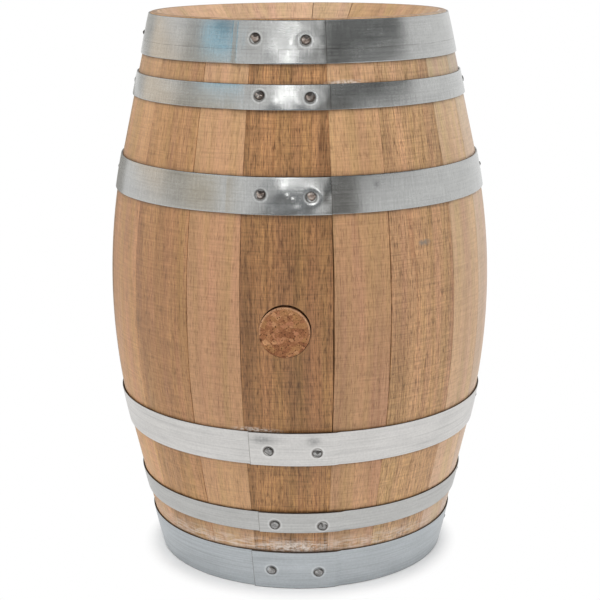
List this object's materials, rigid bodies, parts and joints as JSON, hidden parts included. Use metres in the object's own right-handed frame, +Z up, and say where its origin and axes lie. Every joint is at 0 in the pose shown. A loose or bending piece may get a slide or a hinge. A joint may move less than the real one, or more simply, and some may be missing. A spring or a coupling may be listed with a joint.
{
  "type": "oak barrel",
  "caption": "Standing oak barrel of bent staves held by riveted steel hoops, with dowelled heads let into grooves and a tapered cork that pulls from the bung hole.",
  "frame": {"origin": "centre of the base, on the plane of the lower chime", "axes": "+Z up along the barrel's axis; -Y out through the bung hole; +X to the right seen from the bung side"},
  "size_m": [0.3998, 0.3996, 0.5733],
  "materials": {
    "stave_oak": "planed bare oak",
    "dark_stave_oak": "planed bare oak, darker board",
    "head_oak": "planed bare oak",
    "dowel_beech": "turned bare wood",
    "galvanised_steel": "rolled galvanised strip",
    "rivet_steel": "hammered steel",
    "nail_iron": "dark forged iron",
    "agglomerated_cork": "pressed cork granules"
  },
  "bodies": {
    "cask": {"bung_stave": "dark_stave_oak", "hoop_nails": "nail_iron", "hoop_rivets": "rivet_steel", "lower_bilge_hoop": "galvanised_steel", "lower_head_board_1": "head_oak", "lower_head_board_2": "head_oak", "lower_head_board_3": "head_oak", "lower_head_board_4": "head_oak", "lower_head_board_5": "head_oak", "lower_head_dowels": "dowel_beech", "lower_head_hoop": "galvanised_steel", "lower_quarter_hoop": "galvanised_steel", "stave_01": "stave_oak", "stave_02": "stave_oak", "stave_03": "stave_oak", "stave_04": "stave_oak", "stave_05": "stave_oak", "stave_06": "stave_oak", "stave_07": "stave_oak", "stave_08": "stave_oak", "stave_09": "stave_oak", "stave_10": "stave_oak", "stave_11": "stave_oak", "stave_12": "stave_oak", "stave_13": "stave_oak", "stave_14": "stave_oak", "stave_15": "stave_oak", "stave_16": "stave_oak", "upper_bilge_hoop": "galvanised_steel", "upper_head_board_1": "head_oak", "upper_head_board_2": "head_oak", "upper_head_board_3": "head_oak", "upper_head_board_4": "head_oak", "upper_head_board_5": "head_oak", "upper_head_dowels": "dowel_beech", "upper_head_hoop": "galvanised_steel", "upper_quarter_hoop": "galvanised_steel"},
    "bung": {"cork_bung": "agglomerated_cork"}
  },
  "joints": [
    {"name": "bung_pull", "type": "slide", "parent": "cask", "child": "bung", "axis": [0, -1, 0], "range_m": [0, 0.12]}
  ]
}
